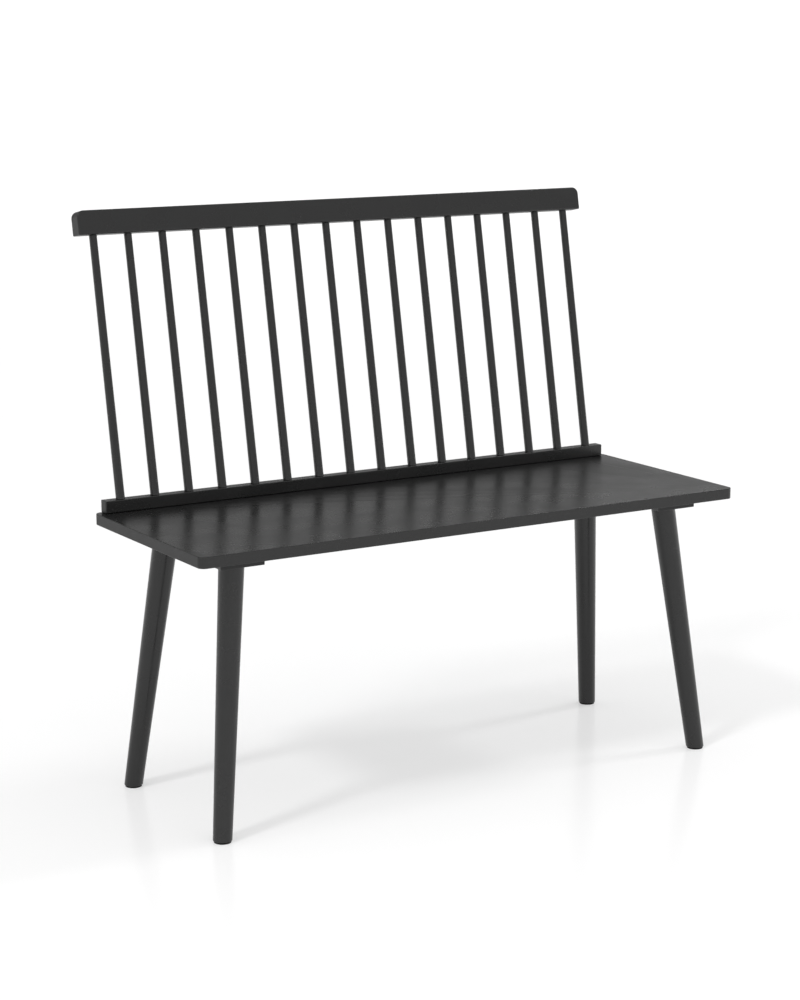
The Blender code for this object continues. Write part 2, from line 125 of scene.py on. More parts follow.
@dataclass
class Surface:
    """A closed surface: rows of x, y and z, and each face's points in the order seen from outside."""

    points: Points
    faces: list[Sequence[int]]

    def placed(self, matrix: Matrix) -> "Surface":
        """Return the surface with each point turned and shifted by the matrix."""
        return Surface(self.points @ matrix[:3, :3].T + matrix[:3, 3], self.faces)

    def copies(self, frames: Iterable[Matrix]) -> list["Surface"]:
        """Return the surface once in each of several frames."""
        return [self.placed(matrix) for matrix in frames]

    def mesh(self, name: str) -> Mesh:
        """Put the surface into a mesh.

        Args:
            name: the mesh's name.

        Returns:
            The mesh.
        """
        mesh = bpy.data.meshes.new(name)
        mesh.from_pydata(self.points.tolist(), [], self.faces)
        mesh.validate()
        return mesh


def joined(surfaces: Iterable[Surface]) -> Surface:
    """Join surfaces into one.

    Args:
        surfaces: any number of surfaces.

    Returns:
        All their points and faces, with each one's point numbers counted on from the last.
    """
    points: list[Points] = []
    faces: list[Sequence[int]] = []
    start = 0
    for surface in surfaces:
        points.append(surface.points)
        faces.extend([number + start for number in face] for face in surface.faces)
        start += len(surface.points)
    return Surface(np.concatenate(points), faces)


def ring_surface(rings: Points, ends: Ends = Ends.POLES) -> Surface:
    """Join a stack of rings of points into one closed surface.

    Face (i, j) joins the points (i, j), (i, j + 1), (i + 1, j + 1) and (i + 1, j). Faces point
    outwards where the rings run anticlockwise seen from above and the stack goes up the outer side.

    Args:
        rings: an array of rings by points by x, y and z.
        ends: how the first and the last ring are closed.

    Returns:
        The surface, in which a pole is one point.
    """
    segments = rings.shape[1]
    inner = rings[1:-1] if ends is Ends.POLES else rings
    total = len(inner) * segments
    here = np.arange(segments)
    there = (here + 1) % segments
    joins = len(inner) if ends is Ends.LOOP else len(inner) - 1
    lower = np.arange(joins)[:, None] * segments
    upper = (lower + segments) % total
    corners = (lower + here, lower + there, upper + there, upper + here)
    faces: list[Sequence[int]] = np.stack(corners, axis=-1).reshape(-1, 4).tolist()
    points = inner.reshape(-1, 3)
    last_ring = total - segments
    if ends is Ends.POLES:
        points = np.concatenate([points, rings[:1, 0], rings[-1:, 0]])
        bottom, top = np.full((2, segments), ([total], [total + 1]))
        faces += np.stack([bottom, there, here], axis=-1).tolist()
        faces += np.stack([last_ring + here, last_ring + there, top], axis=-1).tolist()
    elif ends is Ends.CAPS:
        faces += [here[::-1].tolist(), (last_ring + here).tolist()]
    return Surface(points, faces)


def turned(profile: ArrayLike, angles: Points, slope: ArrayLike = 0.0, drift: ArrayLike = 0.0) -> Points:
    """Carry a profile round the Z axis.

    At the angle a, a row of radius r and height h gives the point whose x is r cos a + drift, whose
    y is r sin a, and whose z is h + slope times r cos a.

    Args:
        profile: rows of radius and height, up the outer side.
        angles: the angles of the points round each ring.
        slope: how steeply each ring rises towards +X, one value or one for each row.
        drift: how far each ring's centre lies towards +X, likewise.

    Returns:
        One ring for each row.
    """
    rows = np.asarray(profile, float)
    radius, height = rows[:, :1], rows[:, 1:]
    rise, shift = (np.broadcast_to(values, len(rows))[:, None] for values in (slope, drift))
    x = radius * np.cos(angles)
    return np.stack([x + shift, radius * np.sin(angles), height + rise * x], axis=-1)


def rounded(profile: Sequence[tuple[float, float]], radius: float) -> Points:
    """Round the inner corners of a profile.

    Each corner gives way to an arc whose centre lies on the line that halves the corner, at the
    radius over the sine of half the angle, and whose ends lie at the radius over the tangent of that
    half angle along the sides. A row beyond each end keeps the straight sides' shading flat.

    Args:
        profile: the corners, of which the first and last stay as they are.
        radius: the arcs' radius, less where a side is too short for it.

    Returns:
        Rows of the rounded profile.
    """
    steps, share_of_side, row_beyond = 5, 0.4, 1.3
    corners = np.asarray(profile, float)
    sweep = np.linspace(0, 1, steps + 1)[:, None]
    rows = [corners[:1]]
    for before, corner, after in zip(corners, corners[1:], corners[2:]):
        back, on = before - corner, after - corner
        room = min(np.linalg.norm(back), np.linalg.norm(on))
        back, on = back / np.linalg.norm(back), on / np.linalg.norm(on)
        half = acos(float(np.clip(back @ on, -1, 1))) / 2
        reach = min(radius / tan(half), room * share_of_side)
        middle = (back + on) / np.linalg.norm(back + on)
        centre = corner + middle * (reach * tan(half)) / sin(half)
        start, end = corner + back * reach - centre, corner + on * reach - centre
        span = pi - 2 * half
        arc = (np.sin((1 - sweep) * span) * start + np.sin(sweep * span) * end) / sin(span)
        before_arc, after_arc = (corner[None] + side * reach * row_beyond for side in (back, on))
        rows += [before_arc, centre + arc, after_arc]
    return np.concatenate([*rows, corners[-1:]])


def board(width: float, depth: float, thickness: float, radii: ArrayLike, edge: float) -> Surface:
    """Make a board, Z through its thickness and its middle at 0.

    At each height the outline is a rectangle, drawn in by an inset, with an arc at each corner: its
    centre plus its radius times the cosine and sine of an angle. Through the lower rounding, at the
    angle q from 0 to a quarter turn, the inset is the edge radius times 1 - sin q and the height
    rises by that radius times 1 - cos q; the upper one mirrors it. Rows and points a little way off
    the roundings keep the flat faces' shading flat.

    Args:
        width: size along X.
        depth: size along Y.
        thickness: size along Z.
        radii: the corners' radius, or one for each, anticlockwise from the +X +Y one.
        edge: radius of the rounding along the outline.

    Returns:
        The closed surface.
    """
    edge_steps, corner_steps, smallest = 5, 10, 0.2 * MM
    band = 0.5 * edge
    quarter = np.linspace(0, pi / 2, edge_steps + 1)
    drawn_in = np.concatenate([[edge + band], edge * (1 - np.sin(quarter)), [0.0]])
    inset = np.concatenate([drawn_in, drawn_in[::-1]])[:, None]
    rise = np.concatenate([[0.0], edge * (1 - np.cos(quarter)), [edge + band]])
    height = np.concatenate([rise - thickness / 2, (thickness / 2 - rise)[::-1]])
    radius = np.maximum(np.broadcast_to(radii, 4) - inset, smallest)[..., None]
    half = (np.array([width, depth]) - 2 * inset) / 2
    centres = np.array([(1, 1), (-1, 1), (-1, -1), (1, -1)]) * (half[:, None] - radius)
    turns = np.linspace(0, pi / 2, corner_steps + 1) + np.arange(4)[:, None] * pi / 2
    arcs = np.stack([np.cos(turns), np.sin(turns)], axis=-1) * radius[:, :, None]
    beyond = np.stack([-np.sin(turns), np.cos(turns)], axis=-1) * band
    ends = arcs[:, :, :1] - beyond[:, :1], arcs[:, :, -1:] + beyond[:, -1:]
    corners = np.concatenate([ends[0], arcs, ends[1]], axis=2) + centres[:, :, None]
    plan = corners.reshape(len(height), -1, 2)
    z = np.broadcast_to(height[:, None, None], (*plan.shape[:2], 1))
    return ring_surface(np.concatenate([plan, z], axis=-1), Ends.CAPS)


def round_surface(profile: ArrayLike, segments: int = 48, ends: Ends = Ends.POLES) -> Surface:
    """Return the surface of a profile carried round the Z axis in even steps."""
    return ring_surface(turned(profile, even_angles(segments)), ends)


def rod(radius: float, bottom: float, top: float) -> Surface:
    """Return a plain rod along Z: two rings of one radius, with a pole at each end."""
    return round_surface([(0, bottom), (radius, bottom), (radius, top), (0, top)])


@dataclass(frozen=True)
class ScrewSizes:
    """A countersunk wood screw."""

    diameter: float
    length: float
    head: float
    pitch: float
    point: float = 4.0 * MM

    def bore(self, fit: float, past: float) -> Surface:
        """Make the hole for the screw, countersunk at 0.

        Args:
            fit: the gap round the screw.
            past: how far the hole runs on below the screw's head.

        Returns:
            The hole as a closed surface.
        """
        radius, mouth, tip = self.diameter / 2 + fit, self.head / 2 + fit, self.length + fit
        cone = [(mouth, -past), (mouth, 0), (radius, mouth - radius)]
        return round_surface([(0, -past), *cone, (radius, tip), (0, tip)])


@dataclass(frozen=True)
class Layout:
    """Sizes that more than one sub-assembly needs, and the places that follow from them.

    A size is changed here and not in a call, because other sizes are worked out from it.
    """

    fit: float = 0.3 * MM
    edge: float = 1.0 * MM
    square_corner: float = 1.8 * MM
    cut_past: float = 3 * MM
    seat_length: float = 1000 * MM
    seat_depth: float = 375 * MM
    seat_thickness: float = 18 * MM
    seat_height: float = 455 * MM
    rail_inset: float = 12.5 * MM
    rail_thickness: float = 19 * MM
    rail_height: float = 20 * MM
    spindle_count: int = 16
    spindle_row_inset: float = 30 * MM
    spindle_exposed: float = 422.5 * MM
    tenon_diameter: float = 8.5 * MM
    lower_tenon: float = 12 * MM
    upper_tenon: float = 18 * MM
    rake: float = radians(11)
    crest_overhang: float = 29 * MM
    crest_height: float = 39 * MM
    crest_thickness: float = 26.5 * MM
    crest_eased: float = 0.8 * MM
    batten_width: float = 75 * MM
    batten_thickness: float = 15 * MM
    batten_setback: float = 37.5 * MM
    leg_inset_x: float = 90 * MM
    leg_inset_y: float = 75.5 * MM
    leg_splay: float = radians(6.22)
    leg_top_diameter: float = 40 * MM
    glide_thickness: float = 2.5 * MM
    nail_diameter: float = 2.4 * MM
    nail_length: float = 14 * MM
    bolt_diameter: float = 8 * MM
    bolt_above: float = 22 * MM
    bolt_below: float = 36 * MM
    insert_diameter: float = 12.5 * MM
    insert_length: float = 19 * MM
    screw_edge: float = 15 * MM
    screw_from_leg: float = 52 * MM
    batten_screw: ScrewSizes = ScrewSizes(4.0 * MM, 25 * MM, 8.0 * MM, 1.8 * MM)
    rail_screw: ScrewSizes = ScrewSizes(4.5 * MM, 30 * MM, 8.5 * MM, 2.0 * MM)

    # Heights, and distances from the seat's middle, that follow from the sizes above
    seat_underside: float = seat_height - seat_thickness
    batten_underside: float = seat_underside - fit - batten_thickness
    rail_length: float = seat_length - 2 * rail_inset
    rail_y: float = (seat_depth - rail_thickness) / 2
    rail_top: float = seat_height + fit + rail_height
    spindle_row: float = rail_length - 2 * spindle_row_inset
    leg_x: float = seat_length / 2 - leg_inset_x
    leg_y: float = seat_depth / 2 - leg_inset_y
    leg_top: float = batten_underside - fit
    # A leg leans by the splay both sideways and front to back
    leg_lean: float = atan(hypot(tan(leg_splay), tan(leg_splay)))
    leg_length: float = (leg_top - glide_thickness - fit) / cos(leg_lean)

    @property
    def spindle_places(self) -> Points:
        """Place of each spindle along the back."""
        return np.linspace(-0.5, 0.5, self.spindle_count) * self.spindle_row

    @property
    def seat_frame(self) -> Matrix:
        """Frame on the floor under the seat's middle, with the whole bench's middle at 0."""
        along = self.spindle_exposed + self.crest_height - self.crest_eased
        rearmost = self.rail_y + along * sin(self.rake)
        rearmost += self.crest_thickness / 2 * cos(self.rake)
        return move(0, -(rearmost - self.seat_depth / 2) / 2, 0)

    @property
    def back_frame(self) -> Matrix:
        """Frame on the lower rail's top, with Z up the rake."""
        return self.seat_frame @ move(0, self.rail_y, self.rail_top) @ turn(Axis.X, -self.rake)

    @property
    def spindle_frames(self) -> list[Matrix]:
        """Frame of each spindle, as the back's but moved along it."""
        return [self.back_frame @ move(x, 0, 0) for x in self.spindle_places]

    @property
    def leg_frames(self) -> dict[str, Matrix]:
        """Frame of each leg by its corner: at the leg's top, Z up the leg, X the way it leans out."""
        frames = {}
        for row, front in (("front", -1), ("rear", 1)):
            for name, side in SIDES.items():
                top = self.seat_frame @ move(side * self.leg_x, front * self.leg_y, self.leg_top)
                outwards = top @ turn(Axis.Z, atan2(front, side))
                frames[f"{row}_{name}"] = outwards @ turn(Axis.Y, -self.leg_lean)
        return frames

    def at_legs(self, node: str, shift: float = 0.0) -> dict[str, Matrix]:
        """Return a frame for a node on each leg's axis, shifted from the leg's top."""
        return {f"{node}_{corner}": leg @ move(0, 0, shift) for corner, leg in self.leg_frames.items()}

    @property
    def screw_rows(self) -> dict[str, tuple[ScrewSizes, list[Matrix]]]:
        """Each row's screws and their frames: at the battens' undersides, and in every second gap."""
        across, down = self.batten_width / 2 - self.screw_edge, self.leg_y - self.screw_from_leg
        rows = {}
        for name, side in SIDES.items():
            places = [(side * self.leg_x + x, y) for y in (-down, down) for x in (-across, across)]
            frames = [self.seat_frame @ move(x, y, self.batten_underside) for x, y in places]
            rows[f"batten_screw_{name}"] = (self.batten_screw, frames)
        gaps = (self.spindle_places[:-1] + self.spindle_places[1:]) / 2
        frames = [self.seat_frame @ move(x, self.rail_y, self.seat_underside) for x in gaps[::2]]
        return rows | {"rail_screw": (self.rail_screw, frames)}

    def leg_bores(self) -> list[Surface]:
        """Return the slanted holes for the inserts and bolts."""
        start = self.fit + self.insert_diameter / 2 * tan(self.leg_lean)
        deepest = max(start + self.insert_length, self.bolt_above) + self.fit
        hole = rod(self.insert_diameter / 2 + self.fit, -self.cut_past, deepest)
        return hole.copies(self.leg_frames.values())

    def screw_bores(self, word: str) -> list[Surface]:
        """Return the holes for the screws in the rows whose names start with a word."""
        rows = [row for name, row in self.screw_rows.items() if name.startswith(word)]
        return [hole for size, row in rows for hole in size.bore(self.fit, self.cut_past).copies(row)]

    def tenon_bores(self, bottom: float, top: float) -> list[Surface]:
        """Return one round hole for each spindle, between two heights up the rake."""
        return rod(self.tenon_diameter / 2 + self.fit, bottom, top).copies(self.spindle_frames)


def linear(colour: str) -> tuple[float, float, float, float]:
    """Turn an sRGB hex colour into the linear one that a shader takes.

    Args:
        colour: six hex digits, red first.

    Returns:
        The linear red, green and blue, and an alpha of 1.
    """
    srgb = np.array([int(colour[i : i + 2], 16) for i in (0, 2, 4)]) / 255
    high = ((srgb + 0.055) / 1.055) ** 2.4
    red, green, blue = np.where(srgb <= 0.04045, srgb / 12.92, high).tolist()
    return red, green, blue, 1.0


def add_node(tree: NodeTree, kind: str, inputs: Inputs | None = None, **settings: Any) -> Node:
    """Add a node to a tree, with its settings and its links.

    Args:
        tree: the node tree.
        kind: the node's type, without the word ShaderNode.
        inputs: each input's value, or the output, or the node's first output, that it links from.
        settings: the node's own properties.

    Returns:
        The new node.
    """
    node = tree.nodes.new(f"ShaderNode{kind}")
    for name, value in settings.items():
        setattr(node, name, value)
    for name, value in (inputs or {}).items():
        source = value.outputs[0] if isinstance(value, Node) else value
        if isinstance(source, NodeSocket):
            tree.links.new(source, node.inputs[name])
        else:
            node.inputs[name].default_value = source
    return node


def new_material(name: str) -> Material:
    """Make a material with an empty node tree.

    Args:
        name: the material's name.

    Returns:
        The material.
    """
    material = bpy.data.materials.new(name)
    material.use_nodes = True
    material.node_tree.nodes.clear()
    return material


def add_shader(tree: NodeTree, inputs: Inputs, reliefs: Sequence[tuple[Node, float]]) -> None:
    """Add a finish's shader and output, its normal bumped by one relief upon another.

    Args:
        tree: the finish's node tree.
        inputs: the shader's inputs, apart from its normal.
        reliefs: for each relief, the node with its pattern, and its real height.
    """
    bumped: Inputs = {}
    for pattern, height in reliefs:
        relief = {"Height": pattern, "Distance": height, "Strength": 1.0}
        bumped = {"Normal": add_node(tree, "Bump", relief | bumped)}
    shader = add_node(tree, "BsdfPrincipled", inputs | bumped)
    add_node(tree, "OutputMaterial", {"Surface": shader})


@dataclass(frozen=True)
class SatinPaint:
    """Sprayed satin furniture paint over sanded solid wood.

    Spraying leaves a fine orange peel, the wood's grain prints through the film as faint streaks
    along each piece, and the film's gloss wanders a little. The sheen is wide and soft. Where the
    coat is dry it is rougher and duller: end grain drinks it, and little of it reaches undersides.
    """

    colour: str = "0A0A0A"
    lighter: str = "101010"
    # Where the streaks and the mottle, multiplied, turn the colour lighter
    lighter_from: float = 0.12
    lighter_to: float = 0.40
    smooth: float = 0.25
    dull: float = 0.31
    dry: float = 0.52
    ior: float = 1.5
    peel_width: float = 1.4 * MM
    peel_height: float = 0.010 * MM
    # Real grain prints at under a millimetre, too fine for a whole view, so it is drawn wider
    grain_width: float = 2.2 * MM
    grain_length: float = 70 * MM
    grain_height: float = 0.045 * MM
    mottle_width: float = 60 * MM

    def material(self) -> Material:
        """Return the paint as a material that follows each piece's own grain."""
        material = new_material("charcoal_satin_paint")
        tree = material.node_tree
        place, dry = (
            add_node(tree, "Attribute", attribute_name=name).outputs
            for name in (GRAIN_PLACE, DRY_COAT)
        )
        stretch = (1 / self.grain_length, 1 / self.grain_width, 1 / self.grain_width)
        lengths = {0: place["Vector"], 1: stretch}
        streaks = add_node(tree, "VectorMath", lengths, operation="MULTIPLY")
        grain, peel, mottle = (
            add_node(tree, "TexNoise", {"Vector": source, "Scale": scale, "Detail": detail})
            for source, scale, detail in (
                (streaks, 1.0, 3.0),
                (place["Vector"], 1 / self.peel_width, 1.0),
                (place["Vector"], 1 / self.mottle_width, 3.0),
            )
        )
        blotch = add_node(tree, "Math", {0: grain, 1: mottle}, operation="MULTIPLY")
        lighter = {"Value": blotch, "From Min": self.lighter_from, "From Max": self.lighter_to}
        share = add_node(tree, "MapRange", lighter)
        tints = {"Factor": share, 6: linear(self.colour), 7: linear(self.lighter)}
        gloss = {"Value": mottle, "To Min": self.smooth, "To Max": self.dull} | NOISE_RANGE
        coats = {"Factor": dry["Fac"], 2: add_node(tree, "MapRange", gloss), 3: self.dry}
        inputs = {
            "Base Color": add_node(tree, "Mix", tints, data_type="RGBA").outputs[2],
            "Roughness": add_node(tree, "Mix", coats, data_type="FLOAT"),
            "IOR": self.ior,
        }
        add_shader(tree, inputs, [(grain, self.grain_height), (peel, self.peel_height)])
        return material


@dataclass(frozen=True)
class CloudedFinish:
    """A finish with one fine relief, and soft clouds in which it is duller and of another shade."""

    name: ClassVar[str]
    own_inputs: ClassVar[Inputs]
    colour: str
    clouded: str
    cloud_width: float
    cloud_detail: float
    relief_width: float
    relief_height: float
    smooth: float
    dull: float

    def material(self) -> Material:
        """Return the finish as a material that follows each piece's own grain."""
        material = new_material(self.name)
        tree = material.node_tree
        place = add_node(tree, "Attribute", attribute_name=GRAIN_PLACE).outputs["Vector"]
        cloud, relief = (
            add_node(tree, "TexNoise", {"Vector": place, "Scale": 1 / width, "Detail": detail})
            for width, detail in ((self.cloud_width, self.cloud_detail), (self.relief_width, 2.0))
        )
        tints = {"Factor": cloud, 6: linear(self.colour), 7: linear(self.clouded)}
        gloss = {"Value": cloud, "To Min": self.smooth, "To Max": self.dull} | NOISE_RANGE
        inputs = {
            "Base Color": add_node(tree, "Mix", tints, data_type="RGBA").outputs[2],
            "Roughness": add_node(tree, "MapRange", gloss),
        }
        add_shader(tree, inputs | self.own_inputs, [(relief, self.relief_height)])
        return material


@dataclass(frozen=True)
class ZincPlate(CloudedFinish):
    """Bright zinc plating on cold-headed, thread-rolled steel.

    The plating is bright with a faint cold tint, clouded and finely scuffed where the parts tumbled
    together.
    """

    name: ClassVar[str] = "bright_zinc_plate"
    own_inputs: ClassVar[Inputs] = {"Metallic": 1.0}
    colour: str = "C6C8CB"
    clouded: str = "A7A9AC"
    cloud_width: float = 1.6 * MM
    cloud_detail: float = 4.0
    relief_width: float = 0.35 * MM
    relief_height: float = 0.004 * MM
    smooth: float = 0.22
    dull: float = 0.42


@dataclass(frozen=True)
class MouldedNylon(CloudedFinish):
    """Black nylon from a spark-eroded mould: matt, with a fine even grit and slight flow clouds."""

    name: ClassVar[str] = "moulded_black_nylon"
    own_inputs: ClassVar[Inputs] = {"IOR": 1.30}
    colour: str = "0B0B0B"
    clouded: str = "121212"
    cloud_width: float = 9 * MM
    cloud_detail: float = 2.0
    # Real grit is under a tenth of a millimetre, too fine to show, so it is drawn coarser
    relief_width: float = 0.4 * MM
    relief_height: float = 0.02 * MM
    smooth: float = 0.60
    dull: float = 0.75


@dataclass(frozen=True)
class Piece:
    """A surface in a node's place, a frame whose X runs along its grain, and what is cut out of it."""

    node: str
    surface: Surface
    grain: Matrix
    holes: Sequence[Surface] = ()


def new_object(name: str, data: ID) -> Object:
    """Put a new object into the scene.

    Args:
        name: the object's name.
        data: its mesh, lamp or camera.

    Returns:
        The object.
    """
    obj = bpy.data.objects.new(name, data)
    bpy.context.scene.collection.objects.link(obj)
    return obj


def alike(surface: Surface, frames: dict[str, Matrix]) -> list[Piece]:
    """Return a piece of one surface for each node's frame, with its grain along Z."""
    along = grain_along(Axis.Z)
    return [Piece(node, surface.placed(own), own @ along) for node, own in frames.items()]


def cut(obj: Object, holes: Sequence[Surface]) -> None:
    """Cut surfaces out of an object and keep the result as its mesh.

    Args:
        obj: the object, which has one closed mesh.
        holes: closed surfaces that run on past the faces that they open.
    """
    cutter = new_object("holes", joined(holes).mesh("holes"))
    modifier = obj.modifiers.new("holes", "BOOLEAN")
    modifier.object = cutter
    modifier.operation = "DIFFERENCE"
    modifier.solver = "EXACT"
    graph = bpy.context.evaluated_depsgraph_get()
    mesh = bpy.data.meshes.new_from_object(obj.evaluated_get(graph))
    mesh.name = obj.name
    obj.modifiers.clear()
    obj.data = mesh
    bpy.data.objects.remove(cutter, do_unlink=True)


def write_grain(mesh: Mesh, grain: Matrix, number: int) -> None:
    """Write where each point lies in the piece's grain, as attributes for the materials.

    The place is the point in the grain's frame, shifted for each piece, so that no two show the same
    stretch of a pattern. The coat is dry by the larger of two shares: the square of the normal along
    the grain, which is 1 on a sawn end, and one that goes from 0 on a wall to 1 on an underside.

    Args:
        mesh: the piece's mesh.
        grain: the frame whose X axis runs along the grain.
        number: the piece's number, which sets the shift.
    """
    underside_from = 0.3
    points, normals = np.empty((2, len(mesh.vertices) * 3))
    mesh.vertices.foreach_get("co", points)
    mesh.vertex_normals.foreach_get("vector", normals)
    normals = normals.reshape(-1, 3)
    inverse = np.linalg.inv(grain)
    places = points.reshape(-1, 3) @ inverse[:3, :3].T + inverse[:3, 3]
    places += np.random.default_rng(number).uniform(1, 3, 3)
    underside = np.clip((-normals[:, 2] - underside_from) / (1 - underside_from), 0, 1)
    dry = np.maximum((normals @ grain[:3, 0]) ** 2, underside)
    attribute = mesh.attributes.new(GRAIN_PLACE, "FLOAT_VECTOR", "POINT")
    attribute.data.foreach_set("vector", places.ravel())
    attribute = mesh.attributes.new(DRY_COAT, "FLOAT", "POINT")
    attribute.data.foreach_set("value", dry)


@dataclass(frozen=True)
class SubAssembly:
    """Pieces of one kind and finish, in the layout that all sub-assemblies share."""

    layout: Layout
    slot: ClassVar[Slot] = Slot.PAINT
    crease: ClassVar[float] = radians(32)

    def build(self) -> list[Piece]:
        """Return the pieces."""
        raise NotImplementedError

    def dress(self, piece: Piece, material: Material, number: int) -> Object:
        """Make a piece's object, cut it, shade it and give it its finish.

        Args:
            piece: what to make.
            material: the finish.
            number: how many pieces were made before it.

        Returns:
            The finished object, riding on the bench's body in the place of its node.
        """
        slot, surface_word = self.slot.value
        name = f"{piece.node}_{surface_word}"
        obj = new_object(name, piece.surface.mesh(name))
        if piece.holes:
            cut(obj, piece.holes)
        obj.data.shade_smooth()
        obj.data.set_sharp_from_angle(angle=self.crease)
        obj.data.materials.clear()
        obj.data.materials.append(material)
        write_grain(obj.data, piece.grain, number)
        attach(obj, BODY)
        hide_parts(piece.node)
        return obj


@dataclass(frozen=True)
class SeatPanel(SubAssembly):
    """The flat seat board, with blind holes from below and through holes for the rail's screws."""

    corner_radius: float = 11 * MM

    def build(self) -> list[Piece]:
        """Return the seat board."""
        sizes = self.layout
        depth, thickness = sizes.seat_depth, sizes.seat_thickness
        panel = board(sizes.seat_length, depth, thickness, self.corner_radius, sizes.edge)
        middle = sizes.seat_frame @ move(0, 0, sizes.seat_height - thickness / 2)
        holes = sizes.leg_bores() + sizes.screw_bores("batten") + sizes.screw_bores("rail")
        return [Piece("seat_panel", panel.placed(middle), middle, holes)]


@dataclass(frozen=True)
class Battens(SubAssembly):
    """The two boards under the seat that carry the legs."""

    def build(self) -> list[Piece]:
        """Return both battens, bored for the inserts and countersunk for their screws."""
        sizes = self.layout
        width, thickness = sizes.batten_width, sizes.batten_thickness
        length = sizes.seat_depth - 2 * sizes.batten_setback
        batten = board(width, length, thickness, sizes.square_corner, sizes.edge)
        height = sizes.batten_underside + thickness / 2
        holes = sizes.leg_bores() + sizes.screw_bores("batten")
        pieces = []
        for name, side in SIDES.items():
            middle = sizes.seat_frame @ move(side * sizes.leg_x, 0, height)
            along = middle @ grain_along(Axis.Y)
            pieces.append(Piece(f"batten_{name}", batten.placed(middle), along, holes))
        return pieces


@dataclass(frozen=True)
class LowerRail(SubAssembly):
    """The straight rail on the seat, flush with its rear edge."""

    def build(self) -> list[Piece]:
        """Return the rail, with raked blind holes above and pilot holes below."""
        sizes = self.layout
        depth, height = sizes.rail_thickness, sizes.rail_height
        rail = board(sizes.rail_length, depth, height, sizes.square_corner, sizes.edge)
        middle = sizes.seat_frame @ move(0, sizes.rail_y, sizes.rail_top - height / 2)
        holes = sizes.tenon_bores(-sizes.lower_tenon - sizes.fit, sizes.cut_past)
        return [Piece("lower_rail", rail.placed(middle), middle, holes + sizes.screw_bores("rail"))]


@dataclass(frozen=True)
class CrestRail(SubAssembly):
    """The rail across the spindles' tops, square to them, with its upper corners rounded."""

    corner_radius: float = 11.5 * MM
    edge: float = 2.2 * MM

    def build(self) -> list[Piece]:
        """Return the rail, with blind holes for the spindles' upper tenons."""
        sizes = self.layout
        length = sizes.spindle_row + 2 * sizes.crest_overhang
        corners = [self.corner_radius] * 2 + [sizes.square_corner] * 2
        rail = board(length, sizes.crest_height, sizes.crest_thickness, corners, self.edge)
        shoulder = sizes.spindle_exposed
        middle = sizes.back_frame @ move(0, 0, shoulder + sizes.crest_height / 2)
        upright = middle @ turn(Axis.X, pi / 2)
        holes = sizes.tenon_bores(shoulder - sizes.cut_past, shoulder + sizes.upper_tenon + sizes.fit)
        return [Piece("crest_rail", rail.placed(upright), middle, holes)]


@dataclass(frozen=True)
class Spindles(SubAssembly):
    """The row of tapered round spindles, mitred below to sit flat on the lower rail."""

    bottom_diameter: float = 14.7 * MM
    top_diameter: float = 12.7 * MM
    chamfer: float = 1 * MM
    arris: float = 0.25 * MM
    last_row_below: float = 1 * MM
    segments: int = 48
    body_rows: int = 12

    def surface(self) -> Surface:
        """Return one spindle, in a frame whose X points to the back's rear.

        The profile runs up the lower tenon, out along the shoulder, up the tapered body, in along
        the upper shoulder and up the upper tenon. The lower shoulder's rings rise towards +X by
        the tangent of the rake, and the body's rings lose that slope over its first stretch.
        """
        sizes = self.layout
        slope = tan(sizes.rake)
        low, high = sizes.fit / cos(sizes.rake), sizes.spindle_exposed - sizes.fit
        foot, tip = -sizes.lower_tenon, sizes.spindle_exposed + sizes.upper_tenon
        tenon = sizes.tenon_diameter / 2
        bottom, top = self.bottom_diameter / 2, self.top_diameter / 2
        levels = np.linspace(low + self.bottom_diameter, high - self.last_row_below, self.body_rows)
        radii = np.interp(levels, [low, high], [bottom, top])
        rows = [(0.0, foot, 0.0), (tenon - self.chamfer, foot, 0.0), (tenon, foot + self.chamfer, 0.0)]
        rows += [(tenon, low, slope), (bottom - self.arris, low, slope)]
        rows += [(bottom, low + self.arris, slope), (bottom, low + 2 * self.arris, slope)]
        rows += zip(radii, levels, np.zeros(self.body_rows))
        rows += [(top, high - self.arris, 0.0), (top - self.arris, high, 0.0), (tenon, high, 0.0)]
        rows += [(tenon, tip - self.chamfer, 0.0), (tenon - self.chamfer, tip, 0.0), (0.0, tip, 0.0)]
        profile = np.array(rows)
        return ring_surface(turned(profile[:, :2], even_angles(self.segments), slope=profile[:, 2]))

    def build(self) -> list[Piece]:
        """Return the spindles, all alike and parallel."""
        numbered = enumerate(self.layout.spindle_frames, start=1)
        frames = {f"spindle_{number:02d}": place @ turn(Axis.Z, pi / 2) for number, place in numbered}
        return alike(self.surface(), frames)


